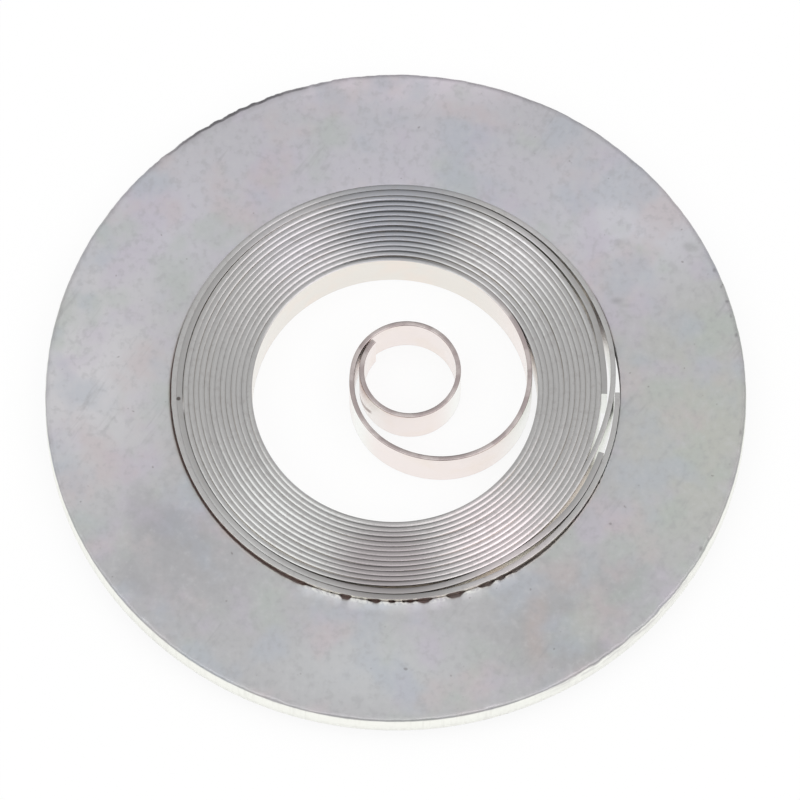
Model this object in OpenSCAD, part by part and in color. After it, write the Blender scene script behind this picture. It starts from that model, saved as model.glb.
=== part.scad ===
// Watch mainspring, coiled in the punched washer that it is sold in.
// The strip stands on edge on z = 0, its coil's axis is the z axis, and +Y points away from the viewer.
// Angles are in degrees. A run along the strip counts clockwise from the +X axis, from its outer end inward.

/* [Washer] */
// Outer diameter of the washer
washer_d = 16.3; // [14:0.1:20]
// Diameter of the washer's hole, which stands in for the bore of the spring barrel
hole_d = 10.5; // [10.2:0.05:11.5]
// Thickness of the washer
washer_t = 0.6; // [0.4:0.05:1]
// Radius that the punch leaves along the washer's upper rim
rim_round = 0.08; // [0.02:0.01:0.15]

/* [Spring strip] */
// Thickness of the spring strip
strip_t = 0.115; // [0.09:0.005:0.12]
// Height of the spring strip
strip_h = 1.2; // [0.9:0.05:1.6]
// How far the strip stands above the washer's upper face
strip_rise = 0.15; // [0:0.01:0.25]
// Gap between the outer turn and the wall of the washer's hole, where it lies tightest
wall_gap = 0.004; // [0.002:0.001:0.01]
// Gap between the outer turn, the bridle and the pack, where they lie tightest
layer_gap = 0.006; // [0.005:0.001:0.01]

/* [Pack of turns] */
// Gap between neighbouring turns of the pack
turn_gap = 0.009; // [0.006:0.001:0.015]
// Turns in the pack, from the crossing to where the inner turn parts from it
pack_turns = 12.73; // [11:0.01:13.5]
// How far the pack is pushed to the left of the washer's axis
pack_left = 0.05; // [0:0.005:0.06]
// How far the pack is pushed to the back of the washer's axis
pack_back = 0.08; // [0:0.005:0.1]
// How much further back the pack's outermost turn lies than its innermost
pack_drift = 0.03; // [0:0.005:0.04]
// How far the pack's outermost turn bulges out of the round at two opposite sides
pack_oval = 0.025; // [0:0.005:0.035]
// Direction of that bulge
oval_angle = 57; // [40:1:80]

/* [Outer turn] */
// How far the outer turn is pushed to the back of the washer's axis
outer_back = 0.04; // [0:0.005:0.05]
// Direction in which the strip's outer end lies
end_angle = -0.5; // [-2:0.5:0]
// Direction in which the outer turn leaves the wall
cross_from = 21; // [20.5:0.5:22]
// Direction in which the crossing reaches the pack
cross_to = -28; // [-32:1:-24]

/* [Slip bridle] */
// Thickness of the bridle, a stiffer strip between the outer turn and the pack
bridle_t = 0.13; // [0.12:0.005:0.14]
// How far the bridle is pushed to the left of the washer's axis
bridle_left = 0.01; // [0:0.005:0.03]
// How far the bridle is pushed to the back of the washer's axis
bridle_back = 0.045; // [0.03:0.005:0.07]
// Direction in which the bridle starts
bridle_start = -18; // [-24:1:-17]
// Direction in which the bridle's free end lies
bridle_end = -1; // [-1:0.5:2]
// How far the start of the bridle springs outward, or inward below 0
start_spring = 0.01; // [-0.02:0.005:0.015]
// How far the free end of the bridle springs inward
end_spring = 0.14; // [0.12:0.005:0.16]
// Arc over which each end of the bridle springs away
spring_arc = 28; // [20:1:40]

/* [Inner turn and eye] */
// Inner diameter of the eye, which grips the barrel arbor
eye_d = 2.135; // [1.8:0.005:2.4]
// Place of the eye to the right of the washer's axis
eye_x = 0.335; // [0.2:0.005:0.4]
// Place of the eye to the back of the washer's axis
eye_y = 0.55; // [0.4:0.01:0.65]
// Arc of the eye that is truly round
eye_arc = 240; // [200:5:270]
// Gap where the eye's tip lies under the strip
eye_gap = 0.02; // [0.01:0.005:0.04]
// Arc over which the loose turn moves from the pack's centre to the eye's
move_arc = 168; // [160:2:180]
// Arc over which the loose turn closes from the pack's radius to the eye's
close_arc = 255; // [245:5:265]
// Arc of the loose turn and the eye together, from the pack to the inner tip
inner_arc = 651; // [640:1:660]

/* [Hidden] */
$fn = 180;

// Angle between neighbouring points along a strip
run_step = 5;
// Angle to each side of a point over which the strip's direction there is taken
slope_step = 0.5;
// Arc over which the strip thins towards the eye's round part and reaches into it, and how much it thins
tenon_arc = 2;
tenon_inset = 0.005;
// Power by which the strip lifts over the eye's tip: above 1, so that it leaves the round part without a kink
lap_power = 1.5;

washer_z = strip_h - strip_rise - washer_t;
hole_r = hole_d / 2;
pitch = strip_t + turn_gap;

// The outer turn lies on the wall, the bridle inside it, and the pack inside the bridle
outer_c = [0, outer_back];
bridle_c = [-bridle_left, bridle_back];
pack_c = [-pack_left, pack_back];
outer_r = hole_r - wall_gap - strip_t / 2 - norm(outer_c);
bridle_r = outer_r - (strip_t + bridle_t) / 2 - layer_gap - norm(bridle_c - outer_c);
bridle_from = -bridle_start;
bridle_to = 360 - bridle_end;

// Runs along the strip at which its stretches begin
start_run = -end_angle;
cross_run = 360 - cross_from;
pack_run = 360 - cross_to;
part_run = pack_run + 360 * pack_turns;
eye_c = [eye_x, eye_y];
eye_r = eye_d / 2 + strip_t / 2;
tip_run = part_run + inner_arc;
ring_run = tip_run - eye_arc;
tip_angle = -tip_run % 360;
lap = strip_t + eye_gap;

function direction(a) = [cos(a), sin(a)];
function ease(t) = let (u = min(max(t, 0), 1)) u * u * (3 - 2 * u);
function mix(a, b, t) = a + (b - a) * t;

// Radius of the bridle at a run, with its two ends sprung away from the ring
function bridle_radius(run) =
    bridle_r
    + start_spring * (1 - ease((run - bridle_from) / spring_arc))
    - end_spring * ease((run - bridle_to + spring_arc) / spring_arc);

// Shape of the pack at a run: the outer turns lie a little further back and are a little oval
function turn_share(run) = min(max(1 - (run - pack_run) / (part_run - pack_run), 0), 1);
function pack_centre(run) = pack_c + turn_share(run) * [0, pack_drift];
function pack_bulge(run) = pack_oval * turn_share(run) * cos(2 * (run + oval_angle));
function pack_fall(run) = pitch * (run - pack_run) / 360;

// The pack starts as wide as it can be with a gap left to the bridle all the way round
function pack_room(run) =
    bridle_radius(run)
    + (bridle_c - pack_centre(run + 360)) * direction(-run)
    - (bridle_t + strip_t) / 2 - layer_gap
    + pack_fall(run + 360) - pack_bulge(run + 360);
pack_r = min([for (run = [pack_run - 360 : run_step : bridle_to]) pack_room(run)]);

// Radius of the pack and of the eye at a run, each about its own centre
function pack_radius(run) = pack_r - pack_fall(run) + pack_bulge(run);
function eye_radius(run) = eye_r + lap * pow(max(0, ring_run - run) / (360 - eye_arc), lap_power);

// Middle line of the outer turn and its crossing into the pack
function outer_point(run) =
    mix(outer_c + outer_r * direction(-run),
        pack_centre(run) + pack_radius(run) * direction(-run),
        ease((run - cross_run) / (pack_run - cross_run)));

// Middle line of the pack, the loose turn and the eye
function inner_point(run) =
    mix(pack_centre(run), eye_c, ease((run - part_run) / move_arc))
    + mix(pack_radius(run), eye_radius(run), ease((run - part_run) / close_arc)) * direction(-run);

function spring_point(run) = run < pack_run ? outer_point(run) : inner_point(run);

// Middle line of the bridle
function bridle_point(run) = bridle_c + bridle_radius(run) * direction(-run);

// Runs from one value to another, at whole steps so that the corners of neighbouring turns line up
function runs(from, to) =
    let (first = floor(from / run_step) + 1, last = ceil(to / run_step) - 1)
    concat([from], [for (i = [first : last]) i * run_step], [to]);

// Unit vector across a strip that runs through these two points
function across(a, b) = let (d = (b - a) / norm(b - a)) [-d[1], d[0]];

// One face of a strip: its middle line's points moved sideways by half its thickness
function spring_face(list, side) =
    [for (r = list)
        spring_point(r) + side * across(spring_point(r - slope_step), spring_point(r + slope_step))];
function bridle_face(list, side) =
    [for (r = list)
        bridle_point(r) + side * across(bridle_point(r - slope_step), bridle_point(r + slope_step))];
function reversed(list) = [for (i = [len(list) - 1 : -1 : 0]) list[i]];

module retaining_washer() {
    color([0.73, 0.74, 0.77])
    translate([0, 0, washer_z])
    rotate_extrude() {
        translate([hole_r, 0])
        square([washer_d / 2 - hole_r, washer_t - rim_round]);
        translate([hole_r, 0])
        square([washer_d / 2 - rim_round - hole_r, washer_t]);
        translate([washer_d / 2 - rim_round, washer_t - rim_round])
        circle(r = rim_round);
    }
}

// The whole strip but the round part of its eye, drawn from above
module coil_outline() {
    list = runs(start_run, ring_run - tenon_arc);
    half = strip_t / 2;
    tenon = half - tenon_inset;
    polygon(concat(
        spring_face(list, half),
        spring_face([ring_run, ring_run + tenon_arc], tenon),
        spring_face([ring_run + tenon_arc, ring_run], -tenon),
        spring_face(reversed(list), -half)));
}

module eye_ring() {
    translate([eye_c[0], eye_c[1], 0])
    rotate([0, 0, tip_angle])
    rotate_extrude(angle = eye_arc)
    translate([eye_d / 2, 0])
    square([strip_t, strip_h]);
}

module mainspring() {
    color([0.56, 0.56, 0.57]) {
        linear_extrude(strip_h)
        coil_outline();
        eye_ring();
    }
}

module slip_bridle() {
    list = runs(bridle_from, bridle_to);
    color([0.62, 0.62, 0.63])
    linear_extrude(strip_h)
    polygon(concat(bridle_face(list, bridle_t / 2), bridle_face(reversed(list), -bridle_t / 2)));
}

retaining_washer();
mainspring();
slip_bridle();
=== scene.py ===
# %% [markdown]
# # A watch mainspring in its washer
#
# A mainspring is one long steel strip, wound up on edge. It is sold coiled inside a punched steel washer,
# from which it is pushed straight into its barrel. The solids hold the sizes and the places of the three
# pieces: the washer, the spring and the short stiff strip beside it, called the slip bridle. This script
# gives them their looks. Its first lines load those solids as a fixed frame in metres.

# %% Load the frame
import math

import bpy
import numpy as np
from mathutils import Matrix, Vector


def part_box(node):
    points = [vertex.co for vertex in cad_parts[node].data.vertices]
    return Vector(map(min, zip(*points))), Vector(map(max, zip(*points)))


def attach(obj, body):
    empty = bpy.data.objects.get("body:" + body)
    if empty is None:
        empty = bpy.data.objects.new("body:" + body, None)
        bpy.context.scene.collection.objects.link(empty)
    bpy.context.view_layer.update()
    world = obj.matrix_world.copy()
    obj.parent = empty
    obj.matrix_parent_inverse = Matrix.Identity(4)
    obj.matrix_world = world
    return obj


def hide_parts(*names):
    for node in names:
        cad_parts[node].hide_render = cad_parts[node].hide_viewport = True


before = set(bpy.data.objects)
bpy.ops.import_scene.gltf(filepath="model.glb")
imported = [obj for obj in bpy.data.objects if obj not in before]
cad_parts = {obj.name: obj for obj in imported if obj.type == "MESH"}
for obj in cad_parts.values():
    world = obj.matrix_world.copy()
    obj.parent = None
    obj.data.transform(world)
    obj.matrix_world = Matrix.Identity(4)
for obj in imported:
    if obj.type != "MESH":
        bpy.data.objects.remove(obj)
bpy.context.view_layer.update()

MM = 0.001
scene = bpy.context.scene
strip_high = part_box("mainspring")[1]
washer_low, washer_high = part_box("retaining_washer")
strip_h = strip_high.z / MM
washer_r = washer_high.y / MM
washer_z = washer_low.z / MM
washer_top = washer_high.z / MM
print("strip height", round(strip_h, 3), "mm")
print("washer radius", round(washer_r, 3), "mm, top at", round(washer_top, 3), "mm")

# %% [markdown]
# ## The camera
#
# The photograph looks down on the washer from the front, so steeply that its round rim becomes an oval only
# a little lower than it is wide. The ratio of the oval's two axes is the sine of the camera's height angle.
# A short lens would bend the view more, but a long lens from a third of a metre away gives the weak
# perspective of a close-up of something this small.

# %% Camera
VIEW_HEIGHT = math.radians(67.5)
VIEW_DISTANCE = 0.35
PIXELS_PER_MM = 43.1
FRAME_PIXELS = 800
AIM_X, AIM_Y = 0.10, -0.195
aim = Vector((AIM_X, AIM_Y, strip_h)) * MM
sight = Vector((0, -math.cos(VIEW_HEIGHT), math.sin(VIEW_HEIGHT)))

lens = bpy.data.cameras.new("photo_view")
lens.sensor_width = 36
lens.lens = PIXELS_PER_MM / MM * VIEW_DISTANCE * lens.sensor_width / FRAME_PIXELS
lens.clip_start = 0.01
lens.clip_end = 10
camera = bpy.data.objects.new("photo_view", lens)
camera.location = aim + sight * VIEW_DISTANCE
camera.rotation_euler = sight.to_track_quat("Z", "Y").to_euler()
scene.collection.objects.link(camera)
scene.camera = camera
print("lens", round(lens.lens), "mm")

# %% [markdown]
# ## Shader sums in plain Python
#
# A shader is a graph of nodes. It could be drawn by hand in the node editor, but written as sums it can be
# read. This class wraps one socket, and each operator on it adds one Math node. Its method `node` adds any
# other node from its type, its settings and its sockets.


# %% A socket that can be added and multiplied
class Sock:
    """One output socket of a shader graph."""

    def __init__(self, tree, socket):
        self.tree = tree
        self.socket = socket

    def node(self, kind, settings=None, sockets=None, out=0):
        """Adds a node: settings are set first, then its sockets take values or links."""
        made = self.tree.nodes.new(kind)
        for name, value in (settings or {}).items():
            setattr(made, name, value)
        for name, value in (sockets or {}).items():
            if isinstance(value, Sock):
                self.tree.links.new(value.socket, made.inputs[name])
            else:
                made.inputs[name].default_value = value
        return Sock(self.tree, made.outputs[out])

    def sum(self, operation, a, b):
        """Adds a Math node on two values."""
        return self.node("ShaderNodeMath", {"operation": operation}, {0: a, 1: b})

    def __add__(self, other):
        return self.sum("ADD", self, other)

    def __sub__(self, other):
        return self.sum("SUBTRACT", self, other)

    def __rsub__(self, other):
        return self.sum("SUBTRACT", other, self)

    def __mul__(self, other):
        return self.sum("MULTIPLY", self, other)

    __radd__ = __add__
    __rmul__ = __mul__

    def step(self, low, high):
        """0 below low, 1 above high and a soft rise between them."""
        return self.node("ShaderNodeMapRange", {"interpolation_type": "SMOOTHSTEP"},
                         {"Value": self, "From Min": low, "From Max": high})

    def tint(self, other, amount):
        """This colour mixed with another by an amount from 0 to 1."""
        return self.node("ShaderNodeMix", {"data_type": "RGBA"}, {0: amount, 6: self, 7: other}, out=2)


print("shader sums ready")


# %% Small helpers around it
def part_of(vector, axis):
    """One of the three parts of a vector."""
    return vector.node("ShaderNodeSeparateXYZ", {}, {0: vector}, out=axis)


def size_of(value):
    """A value without its sign."""
    return value.node("ShaderNodeMath", {"operation": "ABSOLUTE"}, {0: value})


def stored(place, name):
    """A value that is kept for each point of the mesh."""
    return place.node("ShaderNodeAttribute", {"attribute_name": name}, out="Fac")


def colour(r, g, b):
    """A colour as sockets take it."""
    return (r, g, b, 1.0)


def plain(place, r, g, b):
    """A colour as the start of a chain of tints."""
    made = place.node("ShaderNodeRGB")
    made.socket.default_value = colour(r, g, b)
    return made


def metal(name):
    """A new metal material, with its shader node and its graph's place and normal sockets."""
    material = bpy.data.materials.new(name)
    material.use_nodes = True
    tree = material.node_tree
    shader = tree.nodes["Principled BSDF"]
    shader.inputs["Metallic"].default_value = 1.0
    place = Sock(tree, tree.nodes.new("ShaderNodeTexCoord").outputs["Object"])
    normal = Sock(tree, tree.nodes.new("ShaderNodeNewGeometry").outputs["Normal"])
    return material, shader, place, normal


def plug(shader, name, sock):
    """Links a socket to one input of a material's shader."""
    sock.tree.links.new(sock.socket, shader.inputs[name])


print("helpers ready")

# %% [markdown]
# ## Masks by place
#
# Every finish here changes from place to place: the plating drifts in tone, dirt sits in one corner, light
# falls on one side. An image could be painted for each, but two kinds of mask are enough. A soft oval picks
# out a place, and cloudy noise breaks up its border. Neither has a seam, and both work from every side.


# %% Ovals and clouds
def spot(place, x, y, width, height, soft=1.0):
    """A soft oval mask around a place seen from above, in millimetres."""
    moved = place.node("ShaderNodeVectorMath", {"operation": "SUBTRACT"}, {0: place, 1: (x * MM, y * MM, 0)})
    scaled = place.node("ShaderNodeVectorMath", {"operation": "MULTIPLY"},
                        {0: moved, 1: (1 / (width * MM), 1 / (height * MM), 0)})
    away = place.node("ShaderNodeVectorMath", {"operation": "LENGTH"}, {0: scaled}, out="Value")
    return 1 - away.step(1 - soft, 1)


def clouds(place, size, seed, detail=3, stretch=(1, 1, 1), turn=0):
    """Cloudy noise from 0 to 1, with clouds of a size in millimetres, stretched along turned axes."""
    laid = place.node("ShaderNodeMapping", {"vector_type": "TEXTURE"},
                      {"Vector": place, "Rotation": (0, 0, math.radians(turn)), "Scale": stretch})
    return place.node("ShaderNodeTexNoise", {"noise_dimensions": "4D"},
                      {"Vector": laid, "W": seed, "Scale": 1 / (size * MM), "Detail": detail})


print("masks ready")

# %% [markdown]
# ## Zinc plating: the tone of the face
#
# The washer is punched from rolled sheet and plated. Its face is satin grey with a faint cloudy play of
# lavender, rose, green and blue. Plain grey would look like plastic, and a photograph laid over it would
# carry its light along. So wide soft spots set how the tone drifts over the face, noise adds the play of
# colour, and one smudge is broken up by clouds.

# %% Tone of the washer's face
ZINC_GREY = (0.50, 0.50, 0.51)
ZINC_DRIFT = (
    # colour, then the middle, half width and half height of the spot that it fills, and its strength
    (colour(0.574, 0.559, 0.611), (0, 5.6, 10.0, 4.4), 0.9),
    (colour(0.746, 0.677, 0.746), (0, 8.1, 6.0, 1.2), 0.8),
    (colour(0.631, 0.616, 0.678), (-5.6, 4.2, 3.4, 3.0), 0.6),
    (colour(0.668, 0.662, 0.716), (5.6, 4.2, 3.4, 3.0), 0.7),
    (colour(0.565, 0.576, 0.587), (-0.5, -6.8, 3.4, 1.6), 0.9),
    (colour(0.665, 0.653, 0.675), (-7.2, 0.6, 3.2, 5.0), 0.9),
    (colour(0.519, 0.529, 0.487), (7.2, -1.0, 3.2, 5.5), 0.9),
    (colour(0.414, 0.409, 0.424), (-4.9, -4.2, 2.8, 2.4), 0.62),
    (colour(0.398, 0.398, 0.398), (4.2, -5.8, 3.0, 2.4), 0.85),
    (colour(0.550, 0.455, 0.430), (3.25, -5.8, 0.45, 1.6), 0.50),
    (colour(0.570, 0.490, 0.485), (3.9, -4.5, 0.8, 0.8), 0.40),
    (colour(0.373, 0.388, 0.404), (5.4, -4.7, 1.1, 1.0), 0.5),
)
ZINC_PLAY = (
    # lavender, rose, green and blue
    colour(0.555, 0.512, 0.592),
    colour(0.578, 0.512, 0.520),
    colour(0.478, 0.522, 0.486),
    colour(0.474, 0.507, 0.560),
)
SMUDGE_GREY = colour(0.36, 0.355, 0.375)
SMUDGE_PATCHES = (
    # middle, half width and half height
    (-5.5, -2.7, 1.0, 1.2),
    (-5.1, -3.6, 1.1, 0.9),
    (-5.85, -4.5, 0.6, 0.65),
)


def zinc_tone(place):
    """Colour of the washer's clean face, with its smudge."""
    face = plain(place, *ZINC_GREY)
    for shade, area, strength in ZINC_DRIFT:
        face = face.tint(shade, spot(place, *area) * strength)
    for seed, shade in enumerate(ZINC_PLAY):
        face = face.tint(shade, clouds(place, size=1.3, seed=seed, detail=4).step(0.50, 0.68) * 0.55)
    patchy = clouds(place, size=0.9, seed=15, detail=5, stretch=(1, 1.6, 1), turn=35).step(0.44, 0.56)
    for area in SMUDGE_PATCHES:
        face = face.tint(SMUDGE_GREY, spot(place, *area, soft=0.5) * patchy * 0.3)
    return face


print(len(ZINC_DRIFT), "drifts of tone,", len(ZINC_PLAY), "tints")

# %% [markdown]
# ## Zinc plating: grain and wear
#
# Plating is never even: it has a fine grain, slanting scratches from the bench, pits, and a few dark marks
# near the rim. Modelled marks would cost many faces for depths that no one sees. Noise of three sizes, used
# both as colour and as bump, reads the same, and only the marks that stand out are listed one by one.

# %% Wear of the washer's face
GRAIN_DARK = colour(0.38, 0.38, 0.39)
GRAIN_LIGHT = colour(0.60, 0.60, 0.61)
SCRATCH_GREY = colour(0.34, 0.34, 0.35)
MARK_GREY = colour(0.20, 0.19, 0.20)
PIT_BROWN = colour(0.14, 0.12, 0.11)
DARK_MARKS = (
    # middle, half width and half height of a mark, and how strong it is
    (5.15, 2.37, 0.24, 0.14, 0.35),
    (5.35, 2.25, 0.30, 0.10, 0.20),
    (6.83, 3.75, 0.24, 0.16, 0.25),
    (5.25, 3.85, 0.35, 0.16, 0.15),
    (7.42, 3.14, 0.06, 0.08, 0.55),
    (7.58, 2.72, 0.05, 0.07, 0.50),
    (7.71, 2.35, 0.07, 0.06, 0.60),
    (7.80, 1.98, 0.05, 0.08, 0.45),
    (7.92, 1.50, 0.06, 0.09, 0.60),
    (8.00, -0.95, 0.06, 0.12, 0.45),
    (7.06, -3.86, 0.08, 0.10, 0.55),
    (7.22, -3.60, 0.05, 0.07, 0.40),
)


def zinc_wear(place, face):
    """The face with its grain, scratches, marks and pits, and the relief that goes with them."""
    grain = clouds(place, size=0.16, seed=5, detail=4)
    face = face.tint(GRAIN_DARK, (1 - grain.step(0.30, 0.52)) * 0.30)
    face = face.tint(GRAIN_LIGHT, grain.step(0.52, 0.74) * 0.30)
    scratched = clouds(place, size=1.5, seed=7).step(0.45, 0.6)
    scratches = clouds(place, size=0.10, seed=6, stretch=(1, 9, 1), turn=-35) * scratched
    face = face.tint(SCRATCH_GREY, scratches.step(0.52, 0.80) * 0.3)
    for x, y, width, height, strength in DARK_MARKS:
        face = face.tint(MARK_GREY, spot(place, x, y, width, height) * strength)
    pits = clouds(place, size=0.15, seed=8, detail=1).step(0.74, 0.80)
    face = face.tint(PIT_BROWN, pits * 0.4)
    return face, grain + scratches - pits


print(len(DARK_MARKS), "dark marks")

# %% [markdown]
# ## The punched side and the edges
#
# A punch shears the sheet half way and tears the rest, so the side of the washer is bright with upright
# shear marks, and duller below. At the front right it is scraped. The side could be a material of its own,
# but one material that asks where the surface stands upright keeps the washer a single piece. Three values
# stored on the mesh colour its edges: `rim` along the rolled rim, where it paints a dark reflection all round
# and the burr where the rim is torn, `bright` on the torn lip of the hole, and a third in the hole, where it
# paints the shade in the gap between lip and spring, and the dirt packed there at the front left.

# %% Washer material
CUT_WHITE = (0.985, 0.99, 0.935)
SHEAR_GREY = colour(0.70, 0.695, 0.66)
TORN_GREY = colour(0.80, 0.795, 0.76)
SCRAPED_GREY = colour(0.60, 0.585, 0.58)
SCRAPED_AREA = (5.4, -6.0, 3.4, 3.0)
# Painted dark reflection along the rolled rim all round, with the torn burr at the back left
PAINTED_RIM_SHADE_AND_BURR = colour(0.34, 0.32, 0.335)
RAGGED_GREY = colour(0.17, 0.165, 0.175)
FLECK_WHITE = colour(0.80, 0.81, 0.78)
# Painted shade in the gap between the hole's lip and the spring, and dirt packed at the front left
GAP_SHADE_AND_DIRT_BROWN = colour(0.32, 0.23, 0.22)
# Radius inside which an upright surface belongs to the hole, not to the outer side
SIDE_R = 7


def cut_side(place):
    """Colour of the washer's punched side."""
    height = part_of(place, "Z")
    cut = plain(place, *CUT_WHITE)
    shear = clouds(place, size=0.09, seed=12, stretch=(1, 1, 14))
    cut = cut.tint(SHEAR_GREY, shear.step(0.48, 0.72) * 0.25)
    torn_half = 1 - height.step((washer_z + 0.16) * MM, (washer_z + 0.24) * MM)
    cut = cut.tint(TORN_GREY, torn_half * clouds(place, size=0.08, seed=13).step(0.4, 0.6) * 0.3)
    upper_half = height.step((washer_top - 0.45) * MM, (washer_top - 0.05) * MM)
    scraped = upper_half * spot(place, *SCRAPED_AREA, soft=0.6)
    streaks = clouds(place, size=0.5, seed=9, detail=4, stretch=(1, 1, 0.25)).step(0.36, 0.62)
    return cut.tint(SCRAPED_GREY, streaks * (0.04 + 0.8 * scraped))


def washer_zinc():
    """The washer's material: its face, its side and its edges."""
    material, shader, place, normal = metal("washer_zinc")
    face, relief = zinc_wear(place, zinc_tone(place))
    upright = 1 - size_of(part_of(normal, "Z")).step(0.3, 0.7)
    face = face.tint(cut_side(place), upright * (1 - spot(place, 0, 0, SIDE_R, SIDE_R, soft=0.2)))
    # Along the rolled rim: a painted dark reflection all round, and a darker burr where the rim is torn at
    # the back left
    rim = stored(place, "rim")
    patchy = clouds(place, size=0.3, seed=10).step(0.35, 0.65)
    face = face.tint(PAINTED_RIM_SHADE_AND_BURR, rim * (0.35 + 0.65 * patchy))
    ragged = clouds(place, size=0.3, seed=16, stretch=(2, 1, 1), turn=27).step(0.34, 0.5)
    face = face.tint(RAGGED_GREY, rim.step(0.55, 0.9) * ragged * 0.85)
    flecks = stored(place, "bright") * clouds(place, size=0.07, seed=14).step(0.42, 0.55)
    face = face.tint(FLECK_WHITE, flecks * 0.8)
    # Dark brown in the hole: painted shade in the gap between lip and spring, and dirt packed at the front
    # left
    gap_shade_and_dirt = stored(place, "gap_shade_and_dirt")
    plug(shader, "Base Color", face.tint(GAP_SHADE_AND_DIRT_BROWN, gap_shade_and_dirt))
    plug(shader, "Roughness", 0.38 + 0.12 * clouds(place, size=0.8, seed=11) + 0.2 * rim + 0.3 * gap_shade_and_dirt)
    bump = {"Strength": 0.2, "Distance": 0.004 * MM, "Height": relief}
    plug(shader, "Normal", place.node("ShaderNodeBump", {}, bump))
    return material


washer_finish = washer_zinc()
print("made", washer_finish.name, "of", len(washer_finish.node_tree.nodes), "nodes")

# %% [markdown]
# ## Rolled spring steel: the broad faces
#
# The strip's two broad faces are bright from the rolls and mirror the pale surroundings. A clean mirror would
# be too cold, so they are a little warm, and rosy on the loose turn. Painted reflections make them paler
# where they face most white, and painted brown shade lies deep between the outer turn and the bridle. A short
# band of painted brown shade slants over the outside of the eye.

# %% Broad faces of a strip
LOOSE_FACE = colour(0.91, 0.83, 0.80)
WARM_FACE = colour(0.88, 0.78, 0.70)
# Painted reflection: the faces are made paler where they mirror the most white
PAINTED_REFLECTION_WHITE = colour(0.95, 0.97, 0.93)
PAINTED_REFLECTION_PLACES = (
    # middle, half width, half height and softness
    (5.1, -0.55, 0.7, 2.4, 0.4),
    (1.5, 0.1, 0.9, 0.9, 1.0),
    (2.9, -0.3, 1.5, 1.5, 1.0),
    (-0.9, -0.6, 0.8, 0.9, 1.0),
)
# Painted shade in a slanting band near the lower edge of the eye's outside
EYE_SHADE_BROWN = colour(0.22, 0.13, 0.10)
EYE_SHADE_AREA = (-0.74, 0.08, 0.25, 0.6)
# The painted shade's middle line: how steeply it climbs to the right, and its height at the washer's axis
EYE_SHADE_CLIMB, EYE_SHADE_HEIGHT = 1.46, 1.32
# Painted shade in the dark wedge deep between the outer turn and the bridle
WEDGE_SHADE_BROWN = colour(0.20, 0.15, 0.12)
WEDGE_SHADE_AREA = (4.74, 2.10, 0.42, 0.70)


def strip_face(place, loose, face_colour):
    """Colour of a strip's broad faces, with painted reflections and painted shade."""
    face = plain(place, *face_colour)
    face = face.tint(LOOSE_FACE, loose)
    face = face.tint(WARM_FACE, clouds(place, size=0.7, seed=1).step(0.45, 0.7) * 0.5)
    # Painted reflection of the white surroundings
    for area in PAINTED_REFLECTION_PLACES:
        face = face.tint(PAINTED_REFLECTION_WHITE, spot(place, *area) * 0.9)
    # A slanting band of painted shade on the outside of the eye
    off_line = size_of(part_of(place, "Z") - EYE_SHADE_CLIMB * part_of(place, "X") - EYE_SHADE_HEIGHT * MM)
    dark_band = (1 - off_line.step(0.04 * MM, 0.13 * MM)) * spot(place, *EYE_SHADE_AREA, soft=0.4)
    face = face.tint(EYE_SHADE_BROWN, dark_band * 0.85)
    # Painted shade in the wedge between the outer turn and the bridle
    return face.tint(WEDGE_SHADE_BROWN, spot(place, *WEDGE_SHADE_AREA, soft=0.5) * 0.9)


print(len(PAINTED_REFLECTION_PLACES), "pale places on the faces")

# %% [markdown]
# ## Rolled spring steel: the narrow edges
#
# The strip's narrow edges are a duller grey than its faces. Both belong to one strip, so one material tells
# them apart by the normal, which points up or down on an edge. Painted shade darkens the edges at the back
# and the front of the pack, and painted highlights make them paler in the four fans that catch the lamps. The
# loose
# inner turn has browner edges: a value stored on the mesh, `loose`, says where it is. A few specks of dirt
# sit on the turns, and one painted dark spot stands for the shade at the tip of the eye.

# %% Narrow edges of a strip
# Painted light and shade on the edges: shade at the back, highlights in the four fans that catch the lamps,
# and shade at the front and along the front wall
EDGE_LIGHT_AND_SHADE = (
    # colour, then the middle, half width and half height of its place, how soft it is and how strong
    (colour(0.33, 0.34, 0.375), (0, 4.4, 2.4, 1.8), 0.8, 0.85),
    (colour(0.530, 0.530, 0.525), (-2.9, -3.2, 1.9, 1.9), 1.0, 1.0),
    (colour(0.675, 0.615, 0.625), (2.4, -3.6, 2.0, 1.9), 1.0, 1.0),
    (colour(0.560, 0.545, 0.565), (-2.3, 3.6, 1.7, 1.7), 1.0, 1.0),
    (colour(0.580, 0.565, 0.570), (2.6, 3.4, 1.8, 1.8), 1.0, 1.0),
    (colour(0.345, 0.315, 0.322), (-0.2, -4.3, 1.7, 1.4), 0.7, 0.85),
    (colour(0.30, 0.29, 0.285), (0.2, -5.15, 3.2, 0.42), 1.0, 0.9),
)
EDGE_SPECKLE = colour(0.36, 0.34, 0.33)
WORN_EDGE = (0.42, 0.36, 0.355)
WORN_LIGHT = colour(0.60, 0.54, 0.525)
DIRT_AND_SHADE_BROWN = colour(0.06, 0.045, 0.04)
# Middle and half width of each speck of dirt; the last one is painted shade at the tip of the eye
DIRT_AND_TIP_SHADE = ((-5.04, -0.16, 0.06), (1.72, 2.64, 0.05), (2.50, 2.00, 0.05), (-0.47, 1.34, 0.06))


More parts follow.
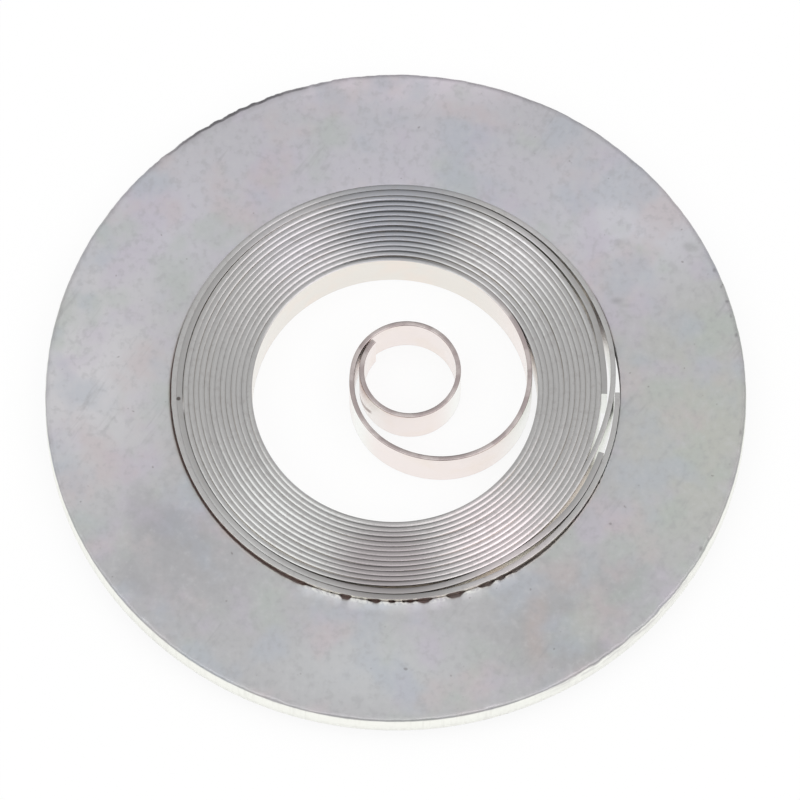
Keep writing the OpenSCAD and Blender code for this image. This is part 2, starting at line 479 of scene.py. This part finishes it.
def strip_edge(place, loose, edge_colour):
    """Colour of a strip's narrow edges, with painted light and shade."""
    steel = plain(place, *edge_colour)
    # Painted shade and painted highlights, spot by spot
    for shade, area, soft, strength in EDGE_LIGHT_AND_SHADE:
        steel = steel.tint(shade, spot(place, *area, soft=soft) * strength)
    steel = steel.tint(EDGE_SPECKLE, clouds(place, size=0.12, seed=2).step(0.5, 0.72) * 0.35)
    worn = plain(place, *WORN_EDGE)
    worn = worn.tint(WORN_LIGHT, clouds(place, size=0.5, seed=4).step(0.42, 0.60) * 0.85)
    steel = steel.tint(worn, loose)
    # Specks of dirt, and one painted dark spot for the shade at the eye's tip
    for x, y, size in DIRT_AND_TIP_SHADE:
        steel = steel.tint(DIRT_AND_SHADE_BROWN, spot(place, x, y, size, size, soft=0.4) * 0.8)
    return steel


def strip_steel(name, face_colour, edge_colour, edge_roughness):
    """A strip's material, with bright faces and duller edges."""
    material, shader, place, normal = metal(name)
    edge = size_of(part_of(normal, "Z")).step(0.05, 0.5)
    loose = stored(place, "loose")
    steel = strip_face(place, loose, face_colour).tint(strip_edge(place, loose, edge_colour), edge)
    plug(shader, "Base Color", steel)
    lines = clouds(place, size=0.2, seed=3, stretch=(1, 1, 0.03))
    plug(shader, "Roughness", (0.18 + 0.08 * lines) * (1 - edge) + edge_roughness * edge)
    bump = {"Strength": 0.15, "Distance": 0.002 * MM, "Height": lines}
    plug(shader, "Normal", place.node("ShaderNodeBump", {}, bump))
    return material


spring_finish = strip_steel("spring_steel", (0.835, 0.80, 0.745), (0.475, 0.47, 0.465), 0.27)
bridle_finish = strip_steel("bridle_steel", (0.90, 0.89, 0.86), (0.40, 0.395, 0.39), 0.30)
print("made", spring_finish.name, "and", bridle_finish.name)

# %% [markdown]
# ## The line that the strip follows
#
# On the real spring one strip runs from the washer's wall to the eye in its middle. It could be traced by eye
# as a long curve, but a formula keeps every turn at its place. So the coil is worked out as the solids' own
# source does it. A place on the strip is given by its run, the angle turned clockwise from the +X axis. The
# outer turn has a constant radius, the crossing eases it into the pack, the pack closes by one pitch each
# turn, and the loose turn eases both its centre and its radius over to the eye.

# %% Sizes of the coil, in millimetres and degrees
hole_r = 5.25
strip_t, bridle_t = 0.115, 0.13
wall_gap, layer_gap, turn_gap = 0.004, 0.006, 0.009
pitch = strip_t + turn_gap
outer_c = np.array([0, 0.04])
bridle_c = np.array([-0.01, 0.045])
pack_c = np.array([-0.05, 0.08])
pack_drift = np.array([0, 0.03])
pack_oval, oval_angle = 0.025, 57
pack_turns, inner_arc = 12.73, 651
eye_c = np.array([0.335, 0.55])
eye_d, eye_arc, eye_gap, lap_power = 2.135, 240, 0.02, 1.5
move_arc, close_arc = 168, 255
start_spring, end_spring, spring_arc = 0.01, 0.14, 28

start_run, cross_run, pack_run = 0.5, 339, 388
part_run = pack_run + 360 * pack_turns
tip_run = part_run + inner_arc
ring_run = tip_run - eye_arc
bridle_from, bridle_to = 18, 361
eye_r = (eye_d + strip_t) / 2
outer_r = hole_r - wall_gap - strip_t / 2 - np.linalg.norm(outer_c)
bridle_r = outer_r - (strip_t + bridle_t) / 2 - layer_gap - np.linalg.norm(bridle_c - outer_c)
print("outer turn radius", round(outer_r, 3), "bridle radius", round(bridle_r, 3))


# %% Radii at a run
def ease(t):
    """A soft rise from 0 to 1 while t goes from 0 to 1."""
    t = np.clip(t, 0, 1)
    return t * t * (3 - 2 * t)


def mix(a, b, t):
    return a + (b - a) * t


def direction(run):
    """Unit vectors from the middle towards an array of runs."""
    a = np.radians(-run)
    return np.stack([np.cos(a), np.sin(a)], axis=-1)


def column(values):
    return np.asarray(values)[:, None]


def bridle_radius(run):
    """Radius of the bridle, with its two ends sprung away from the ring."""
    out = start_spring * (1 - ease((run - bridle_from) / spring_arc))
    return bridle_r + out - end_spring * ease((run - bridle_to + spring_arc) / spring_arc)


def turn_share(run):
    """1 where the pack starts, falling to 0 at its innermost turn."""
    return np.clip(1 - (run - pack_run) / (part_run - pack_run), 0, 1)


def pack_centre(run):
    return pack_c + column(turn_share(run)) * pack_drift


def pack_shape(run):
    """Radius of the pack at a run, less the radius that it starts with."""
    bulge = pack_oval * turn_share(run) * np.cos(2 * np.radians(run + oval_angle))
    return bulge - pitch * (run - pack_run) / 360


def pack_room(run):
    """Largest radius that the pack could start with, if only the bridle at this run were in its way."""
    off_centre = ((bridle_c - pack_centre(run + 360)) * direction(run)).sum(axis=1)
    inner_face = bridle_radius(run) + off_centre - bridle_t / 2 - layer_gap
    return inner_face - strip_t / 2 - pack_shape(run + 360)


ROOM_STEP = 5
pack_r = pack_room(np.arange(pack_run - 360, bridle_to, ROOM_STEP)).min()
print("pack starts at radius", round(pack_r, 3))

# %% [markdown]
# ## Two middle lines
#
# The mainspring's line follows the solid. The bridle's line does too, but it is laid on the pack at the
# front and towards its free end, as a stiff strip leans on what lies inside it. It moves by a share of the
# room that the solids leave there, so it never enters the pack.

# %% Middle lines
# Run where the bridle lies on the pack, the arc over which it gets there and the share of the room it takes
FRONT_RUN, FRONT_ARC, FRONT_SHARE = 60, 30, 0.9
LEAN_RUN, LEAN_ARC, LEAN_SHARE = 245, 55, 0.45
END_RUN, END_ARC, END_SHARE = 337, 20, 0.55
STRIP_STEP = 2.5


def bridle_line(run):
    """Middle line of the slip bridle at an array of runs."""
    front = FRONT_SHARE * ease(1 - np.abs(run - FRONT_RUN) / FRONT_ARC)
    lean = LEAN_SHARE * ease((run - LEAN_RUN) / LEAN_ARC)
    end = END_SHARE * ease((run - END_RUN) / END_ARC)
    bow = np.maximum(front, lean + end) * np.maximum(pack_room(run) - pack_r, 0)
    return bridle_c + column(bridle_radius(run) - bow) * direction(run)


def spring_line(run):
    """Middle line of the mainspring at an array of runs."""
    over_tip = (np.maximum(0, ring_run - run) / (360 - eye_arc)) ** lap_power
    eye_radius = eye_r + (strip_t + eye_gap) * over_tip
    inner_c = mix(pack_centre(run), eye_c, column(ease((run - part_run) / move_arc)))
    inner_r = mix(pack_r + pack_shape(run), eye_radius, ease((run - part_run) / close_arc))
    inner = inner_c + column(inner_r) * direction(run)
    wall = outer_c + outer_r * direction(run)
    return mix(wall, inner, column(ease((run - cross_run) / (pack_run - cross_run))))


spring_runs = np.append(np.arange(start_run, tip_run, STRIP_STEP), tip_run)
steps = np.diff(spring_line(spring_runs), axis=0)
print("strip length", round(float(np.hypot(steps[:, 0], steps[:, 1]).sum())), "mm")

# %% [markdown]
# ## Sweeping a strip with crowned edges
#
# Spring strip is rolled, and its narrow edges are crowned so that the turns slide on each other. Seen from
# above, each crown catches the lamps only where it leans the right way, which draws the fans of light across
# the pack. A bump map is too coarse for that, so the crown is real: a section is carried along the middle
# line, and its rings are joined by quads.

# %% Section of a strip
TOP_POINTS, BOTTOM_POINTS, CORNER_POINTS = 7, 3, 4


def edge_outline(half, corner, crown, points):
    """One narrow edge of a strip as (across, up) pairs, from one face to the other, with its top at 0."""
    lean_end = math.radians(crown)
    bend = corner / (1 - math.sin(lean_end))
    radius = (half - corner) / math.sin(lean_end)
    drop = radius * (1 - math.cos(lean_end))
    corner_lean = np.linspace(math.pi / 2, lean_end, CORNER_POINTS)[:-1]
    crown_lean = np.linspace(lean_end, 0, points)
    across = np.concatenate([half - bend + bend * np.sin(corner_lean), radius * np.sin(crown_lean)])
    corner_fall = drop + bend * (math.cos(lean_end) - np.cos(corner_lean))
    fall = np.concatenate([corner_fall, radius * (1 - np.cos(crown_lean))])
    right = np.stack([across, -fall], axis=1)
    right = np.concatenate([[[half, -fall[0] - half]], right])
    return np.concatenate([right, right[-2::-1] * (-1, 1)])


def strip_section(thickness, corner, crown):
    """Outline of a strip that stands on edge, as (across, up) pairs."""
    top = edge_outline(thickness / 2, corner, crown, TOP_POINTS) + (0, strip_h)
    bottom = edge_outline(thickness / 2, corner, crown, BOTTOM_POINTS) * (-1, -1)
    return np.concatenate([top, bottom])


print("upper crown of", 2 * TOP_POINTS - 1, "points, lower one of", 2 * BOTTOM_POINTS - 1)

# %% Sweep
# Angle to each side of a run over which the strip's direction there is taken
SLOPE_STEP = 0.5


def sweep(line, runs, sections):
    """Points and faces of a strip swept along a middle line, with a section for each run, end faces last."""
    middle = line(runs)
    ahead = line(runs + SLOPE_STEP) - line(runs - SLOPE_STEP)
    ahead /= np.linalg.norm(ahead, axis=1)[:, None]
    side = np.stack([ahead[:, 1], -ahead[:, 0]], axis=1)
    n = sections.shape[1]
    flat = middle[:, None, :] + side[:, None, :] * sections[:, :, :1]
    rings = np.concatenate([flat, sections[:, :, 1:]], axis=2)
    verts = np.concatenate([rings.reshape(-1, 3), rings[0], rings[-1]])
    faces = []
    for i in range(len(runs) - 1):
        for j in range(n):
            k = (j + 1) % n
            faces.append((i * n + j, i * n + k, (i + 1) * n + k, (i + 1) * n + j))
    ends = len(runs) * n
    faces.append(tuple(range(ends + n - 1, ends - 1, -1)))
    faces.append(tuple(range(ends + n, ends + 2 * n)))
    return verts, faces


def new_piece(name, verts, faces, material, node, slot_name, flat_faces=0):
    """A smooth mesh piece that stands for one node of the solids."""
    mesh = bpy.data.meshes.new(name)
    mesh.from_pydata([tuple(v) for v in np.asarray(verts) * MM], [], faces)
    smooth = [True] * (len(faces) - flat_faces) + [False] * flat_faces
    mesh.polygons.foreach_set("use_smooth", smooth)
    mesh.materials.append(material)
    mesh.update()
    piece = bpy.data.objects.new(name, mesh)
    scene.collection.objects.link(piece)
    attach(piece, "root")
    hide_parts(node)
    print(name, len(mesh.vertices), "points,", len(mesh.polygons), "faces")
    return piece


def store(piece, name, values):
    """Keeps one value for each point of a piece, for its material to read."""
    layer = piece.data.attributes.new(name, "FLOAT", "POINT")
    layer.data.foreach_set("value", np.asarray(values, dtype=np.float32))


print("sweep ready")

# %% [markdown]
# ## The mainspring
#
# The turns of the pack touch on the real spring. The solids keep a small gap there, and the visible strip is
# thicker by most of that gap, so that only a hairline is left between two turns. Its section changes on the
# way: strongly crowned in the pack, calmer at the front and the back where the light fans end, flatter on
# the wall but for the place that faces a lamp, and with rounded corners on the loose turn.

# %% Sections along the mainspring
SPRING_FILL = 0.0055
CORNER, LOOSE_CORNER = 0.001, 0.018
# How far each crown leans at the corners, in degrees
PACK_CROWN, CALM_CROWN, LAMP_CROWN, OUTER_CROWN, LOOSE_CROWN = 27, 10, 18, 8, 8
CALM_PLACES = (
    # run, how wide the calm place is as a share of its fade, and how calm it is
    (92, 1.3, 0.5),
    (270, 1.2, 0.1),
)
CALM_FADE = 24
LAMP_RUN, LAMP_REACH = 237, 30
LOOSE_AFTER, LOOSE_FADE = 10, 40


def off_by(values, angle):
    """How far angles are from one angle, whichever way round."""
    return np.abs((values - angle + 180) % 360 - 180)


def per_run(values):
    """Values along the strip, shaped to weigh the sections there."""
    return column(values)[:, :, None]


on_wall = per_run(1 - ease((spring_runs - cross_run) / (pack_run - cross_run)))
loose = per_run(ease((spring_runs - part_run - LOOSE_AFTER) / LOOSE_FADE))
in_pack = 1 - on_wall - loose
calmness = np.zeros(len(spring_runs))
for run, width, share in CALM_PLACES:
    calmness += share * ease(width - off_by(spring_runs, run) / CALM_FADE)
calm = per_run(calmness)
on_lamp = per_run(ease(1 - np.abs(spring_runs - LAMP_RUN) / LAMP_REACH))
filled_t = strip_t + SPRING_FILL
spring_sections = (in_pack * (1 - calm) * strip_section(filled_t, CORNER, PACK_CROWN)
                   + in_pack * calm * strip_section(filled_t, CORNER, CALM_CROWN)
                   + on_wall * on_lamp * strip_section(filled_t, CORNER, LAMP_CROWN)
                   + on_wall * (1 - on_lamp) * strip_section(filled_t, CORNER, OUTER_CROWN)
                   + loose * strip_section(strip_t, LOOSE_CORNER, LOOSE_CROWN))
print(spring_sections.shape[0], "sections of", spring_sections.shape[1], "points")

# %% [markdown]
# ## Uneven turns
#
# No two turns of a wound strip stand quite alike: each edge tilts a little and lies a little higher or lower.
# Perfect turns would light up all at once, like a drawn pattern. A smooth random walk tilts and lowers the
# upper edge along the pack, by less than anyone would measure.

# %% Mainspring
TILT, TILT_EVERY = 7, 70
WAVE, WAVE_EVERY = 0.015, 22
strip_dice = np.random.default_rng(3)


def drift(run, every):
    """A smooth random value between -1 and 1 along a strip, with a new one at every so many degrees."""
    values = strip_dice.uniform(-1, 1, int(tip_run / every) + 2)
    at = (run - run[0]) / every
    first = at.astype(int)
    return mix(values[first], values[first + 1], ease(at - first))


slope = np.tan(np.radians(TILT)) * column(drift(spring_runs, TILT_EVERY))
rise = WAVE * column(drift(spring_runs, WAVE_EVERY) - 1)
top_move = spring_sections[:, :, 0] * slope - np.abs(slope) * strip_t + rise
is_top = spring_sections[:, :, 1] > strip_h / 2
spring_sections[:, :, 1] += np.where(is_top, top_move * in_pack[:, :, 0], 0)
spring = new_piece("mainspring_strip", *sweep(spring_line, spring_runs, spring_sections),
                   spring_finish, "mainspring", "spring_steel", flat_faces=2)
per_ring = spring_sections.shape[1]
loose_rings = np.repeat(loose[:, 0, 0], per_ring)
store(spring, "loose", np.concatenate([loose_rings, np.zeros(per_ring), np.ones(per_ring)]))

# %% [markdown]
# ## The slip bridle
#
# The bridle is a thicker strip of less than one turn, cut blunt at both ends. It keeps one section all the
# way, so it is the same sweep with one crown, and its two end faces show at the right of the coil.

# %% Slip bridle
BRIDLE_FILL = 0.004
BRIDLE_CROWN = 12
BRIDLE_STEP = 2.0
bridle_runs = np.append(np.arange(bridle_from, bridle_to, BRIDLE_STEP), bridle_to)
bridle_section = strip_section(bridle_t + BRIDLE_FILL, CORNER, BRIDLE_CROWN)
bridle_sections = np.stack([bridle_section] * len(bridle_runs))
new_piece("slip_bridle_strip", *sweep(bridle_line, bridle_runs, bridle_sections),
          bridle_finish, "slip_bridle", "bridle_steel", flat_faces=2)

# %% [markdown]
# ## The punched washer
#
# A punch draws the sheet down along one edge of its cut and tears it at the other. So the washer's outer
# rim is softly rounded, with nicks at the back left and the front right, and its hole has a torn lip at the
# front, with dirt packed between lip and spring. Its dark brown is painted, and it also stands for the shade
# in that gap. A sculpted mesh could show this too, but here a profile is turned around the axis, and its
# points are moved at each angle by smooth random waves. That is real geometry, which the edges need, because
# they show most.

# %% Waves around the ring
AROUND = 1440
angles = np.arange(AROUND) * 360.0 / AROUND
washer_dice = np.random.default_rng(7)


def waves(smooth):
    """Random values around the ring, smoothed over some degrees and scaled to between -1 and 1."""
    reach = int(smooth * AROUND / 360)
    raw = washer_dice.normal(size=AROUND)
    kernel = np.hanning(reach + 2)
    ring = np.convolve(np.concatenate([raw[-reach:], raw, raw[:reach]]), kernel, "same")[reach:-reach]
    return ring / np.abs(ring).max()


def near(angle, width):
    """1 at an angle around the ring, falling to 0 at a width from it."""
    return ease(1 - off_by(angles, angle) / width)


print(AROUND, "points around the ring")

# %% Uneven rim
rim_round = 0.08
# Directions in which the rim is torn and chipped
RIM_TEAR, RIM_CHIPS = 117, -45
LONG_NICK, SHORT_NICK = 0.045, 0.025
# Long waves change the roll by up to 30 percent, and short ones by up to 25
rim_roll = rim_round * (1 + 0.3 * waves(8) + 0.25 * waves(2))
nick_depth = LONG_NICK * np.abs(waves(3)) + SHORT_NICK * np.abs(waves(1))
rim_nick = nick_depth * (0.15 + near(RIM_TEAR, 32) + 0.7 * near(RIM_CHIPS, 26))
rim_torn = near(RIM_TEAR, 30)
print("deepest nick", round(float(rim_nick.max()), 3), "mm")

# %% Torn lip of the hole
# Room that the outer turn leaves at the wall of the hole, less a hairline
HAIRLINE = 0.002
wall_room = np.maximum(outer_c[1] * (1 - np.sin(np.radians(angles))) - HAIRLINE, 0)
# Directions in which the lip is torn, and in which it fills the room to the left and the right
LIP_TEAR, LIP_LEFT, LIP_RIGHT = -88, -140, -20
LIP_LIFT = 0.04
tear_pattern = np.clip(0.9 + 2.4 * waves(5) + 0.8 * waves(2), 0, 1)
torn = tear_pattern * np.clip(2 * near(LIP_TEAR, 44), 0, 1)
lip_reach = np.maximum(np.maximum(0.6 * near(LIP_LEFT, 60), torn), near(LIP_RIGHT, 62))
lip = wall_room * lip_reach * (1 - 0.4 * np.abs(waves(0.8)) * (1 - torn))
lift = LIP_LIFT * torn
# How dark the painted gap shade and packed dirt are, how wide the edge's bevel is and how far it drops
BEVEL, BEVEL_BACK, BEVEL_RIGHT = 0.015, 95, -15
# Painted gap shade and dirt around the hole, strongest at the front left
dark_band = np.clip(1.6 * near(LIP_LEFT, 130), 0.05, 1) * (0.85 + 0.15 * waves(2))
bevel = BEVEL + 0.035 * near(BEVEL_BACK, 28) + 0.01 * np.abs(waves(1.5))
bevel_drop = BEVEL - 0.011 * near(BEVEL_RIGHT, 60)
print("widest lip", round(float(lip.max()), 3), "mm")

# %% [markdown]
# ## Turning the profile
#
# The profile is a closed list of rows, from the underside out to the rim, back over the face and down the
# hole. A row gives the radius and height at every angle, and the values that its material reads. Rows set
# close together keep an edge crisp under smooth shading, where an edge split would break the mesh.

# %% Washer profile
thickness = washer_top - washer_z
UNDER_ROWS, ROLL_ROWS, FACE_ROWS = 5, 6, 7
# Small round of the lower rim, width of the shaded rim, and rim that the face's even rows leave free
UNDER_ROUND, RIM_SHADE, FACE_INSET = 0.012, 0.14, 0.25


def ring_profile():
    """Rows of the washer: radius, height, rim value for the painted rim shade and burr, value for the painted
    gap shade and dirt, and bright value at all angles.
    """
    rows = []

    def row(radius, height, rim=0.0, gap_shade_and_dirt=0.0, bright=0.0):
        rows.append([np.broadcast_to(v, AROUND) for v in (radius, height, rim, gap_shade_and_dirt, bright)])

    # Underside
    for r in np.linspace(hole_r + 0.05, washer_r - 0.04, UNDER_ROWS):
        row(r, 0)
    # Outer side, which the nicks eat into, and rolled rim
    row(washer_r - UNDER_ROUND, UNDER_ROUND)
    row(washer_r - 0.3 * rim_nick, 0.05)
    row(washer_r - 0.6 * rim_nick, thickness * 0.5)
    for a in np.radians(np.linspace(0, 90, ROLL_ROWS)):
        roll_in = rim_roll * (1 - np.cos(a))
        roll_down = rim_roll * (1 - np.sin(a))
        # The rim value paints a dark reflection along the roll all round, and the burr where the rim is torn
        shade = np.sin(a) * (0.25 + 0.75 * rim_torn)
        row(washer_r - rim_nick - roll_in, thickness - roll_down, rim=shade)
    row(washer_r - RIM_SHADE, thickness, rim=0.5 * rim_torn)
    # Face
    for r in np.linspace(washer_r - FACE_INSET, hole_r + FACE_INSET, FACE_ROWS):
        row(r, thickness)
    # Lip of the hole, with close rows that keep its edge crisp
    row(hole_r + bevel + 0.03, thickness)
    row(hole_r + bevel - 0.8 * lip, thickness + 0.8 * lift - 0.002, bright=torn)
    row(hole_r - lip + 0.003, thickness + lift - bevel_drop + 0.001, gap_shade_and_dirt=0.1 * dark_band, bright=torn)
    row(hole_r - lip, thickness + lift - bevel_drop - 0.002, gap_shade_and_dirt=0.2 * dark_band, bright=torn)
    row(hole_r - lip, thickness + lift - 0.03, gap_shade_and_dirt=dark_band)
    # Packed dirt and painted shade in the gap, and the wall of the hole below it, darkened as painted shade
    row(hole_r - wall_room, thickness - 0.04, gap_shade_and_dirt=dark_band)
    row(hole_r - wall_room, thickness * 0.5, gap_shade_and_dirt=0.8)
    row(hole_r, 0.04, gap_shade_and_dirt=0.3)
    return rows


washer_rows = ring_profile()
print(len(washer_rows), "rows")


# %% Washer
def turned(rows):
    """Points and faces of a closed profile that is turned around the axis."""
    a = np.radians(angles)
    verts = [np.stack([r * np.cos(a), r * np.sin(a), washer_z + z], axis=1) for r, z, *marks in rows]
    faces = []
    for i in range(len(rows)):
        k = (i + 1) % len(rows)
        for j in range(AROUND):
            m = (j + 1) % AROUND
            faces.append((i * AROUND + j, i * AROUND + m, k * AROUND + m, k * AROUND + j))
    return np.concatenate(verts), faces


washer = new_piece("washer_ring", *turned(washer_rows), washer_finish, "retaining_washer", "washer_steel")
for place_in_row, name in enumerate(("rim", "gap_shade_and_dirt", "bright"), start=2):
    store(washer, name, np.concatenate([r[place_in_row] for r in washer_rows]))

# %% [markdown]
# ## White surroundings
#
# The photograph was taken on pure white. A lit white sheet would turn grey around the washer, and a glowing
# one would light it from below. So the floor glows only to the camera and in reflections, with a share of
# plain diffuse white left in, so that it still takes a faint shadow.

# %% Floor
FLOOR_SIZE = 1.2
FLOOR_KEEPS = 0.13
half = FLOOR_SIZE / 2
floor_corners = [(-half, -half, 0), (half, -half, 0), (half, half, 0), (-half, half, 0)]
floor_mesh = bpy.data.meshes.new("white_floor")
floor_mesh.from_pydata(floor_corners, [], [(0, 1, 2, 3)])
floor = bpy.data.objects.new("white_floor", floor_mesh)
scene.collection.objects.link(floor)


def seen_by_eye_or_mirror(tree):
    """1 for camera, glossy and transmission rays, 0 for the rays that carry light."""
    path = tree.nodes.new("ShaderNodeLightPath")
    rays = [Sock(tree, path.outputs[n]) for n in ("Is Camera Ray", "Is Glossy Ray", "Is Transmission Ray")]
    total = rays[0] + rays[1] + rays[2]
    return total.sum("MINIMUM", total, 1.0)


def white_floor():
    """The floor's material: glowing to the eye, plain white to the light."""
    material = bpy.data.materials.new("white_floor")
    material.use_nodes = True
    tree = material.node_tree
    tree.nodes.remove(tree.nodes["Principled BSDF"])
    seen = seen_by_eye_or_mirror(tree)
    matt = seen.node("ShaderNodeBsdfDiffuse", {}, {"Color": colour(1, 1, 1)})
    glow = seen.node("ShaderNodeEmission", {}, {"Color": colour(1, 1, 1), "Strength": 1.0})
    both = seen.node("ShaderNodeMixShader", {}, {0: seen * (1 - FLOOR_KEEPS), 1: matt, 2: glow})
    tree.links.new(both.socket, tree.nodes["Material Output"].inputs["Surface"])
    return material


floor_mesh.materials.append(white_floor())
print("floor", FLOOR_SIZE, "m across")

# %% [markdown]
# ## Soft light
#
# Bright metal shows what it mirrors, so the light is shaped like a small photo tent. Two soft boxes stand at
# the left and the right: on the crowned edges of the turns they make four fans of light. A dim sky, darker in
# front and behind, leaves the dark fans between them. One even sky would be simpler, but would light every
# turn alike.

# %% Sky
SKY_DIM, SKY_GAIN, WING_LEVEL = 0.12, 0.83, 0.8
# The dark wedge in front and behind reaches this far sideways for each unit along, with a soft border
WEDGE_WIDTH, WEDGE_SOFT = 0.18, 0.03
# Upward part of a direction at which the overhead light starts and is full
OVERHEAD_FROM, OVERHEAD_FULL = 0.62, 0.95


def studio_sky():
    """A sky that is bright overhead and at both sides."""
    world = bpy.data.worlds.new("studio_sky")
    world.use_nodes = True
    tree = world.node_tree
    tree.nodes.clear()
    way = Sock(tree, tree.nodes.new("ShaderNodeTexCoord").outputs["Generated"])
    up = part_of(way, "Z")
    unsigned = way.node("ShaderNodeVectorMath", {"operation": "ABSOLUTE"}, {0: way})
    past_wedge = part_of(unsigned, "X") - WEDGE_WIDTH * part_of(unsigned, "Y")
    wings = past_wedge.step(-WEDGE_SOFT, WEDGE_SOFT)
    overhead = up.step(OVERHEAD_FROM, OVERHEAD_FULL)
    level = SKY_DIM + SKY_GAIN * up.sum("MAXIMUM", overhead, WING_LEVEL * wings)
    glow = way.node("ShaderNodeBackground", {}, {"Color": colour(1, 1, 1), "Strength": level})
    out = tree.nodes.new("ShaderNodeOutputWorld")
    tree.links.new(glow.socket, out.inputs["Surface"])
    return world


scene.world = studio_sky()
scene.view_settings.view_transform = "Standard"
print("sky", scene.world.name)

# %% Soft boxes
BOX_DISTANCE = 0.2
SOFT_BOXES = (
    # name, direction from the washer, width and height in metres, radiance and colour
    ("soft_box_left", (-0.473, -0.202, 0.853), 0.12, 0.15, 1.0, (0.97, 1.0, 0.99)),
    ("soft_box_right", (0.42, -0.26, 0.87), 0.15, 0.15, 1.05, (1.0, 0.94, 0.96)),
)


def soft_box(name, towards, width, height, radiance, light):
    """A lamp that faces the washer, its height pointing at what the washer's face mirrors."""
    lamp = bpy.data.lights.new(name, "AREA")
    lamp.shape = "RECTANGLE"
    lamp.size = width
    lamp.size_y = height
    lamp.energy = radiance * math.pi * width * height
    lamp.color = light
    box = bpy.data.objects.new(name, lamp)
    back = Vector(towards).normalized()
    mirrored = Vector((0, -sight.y, sight.z))
    across = mirrored.cross(back).normalized()
    box.location = back * BOX_DISTANCE
    box.rotation_euler = Matrix((across, back.cross(across), back)).transposed().to_euler()
    scene.collection.objects.link(box)


for box_row in SOFT_BOXES:
    soft_box(*box_row)
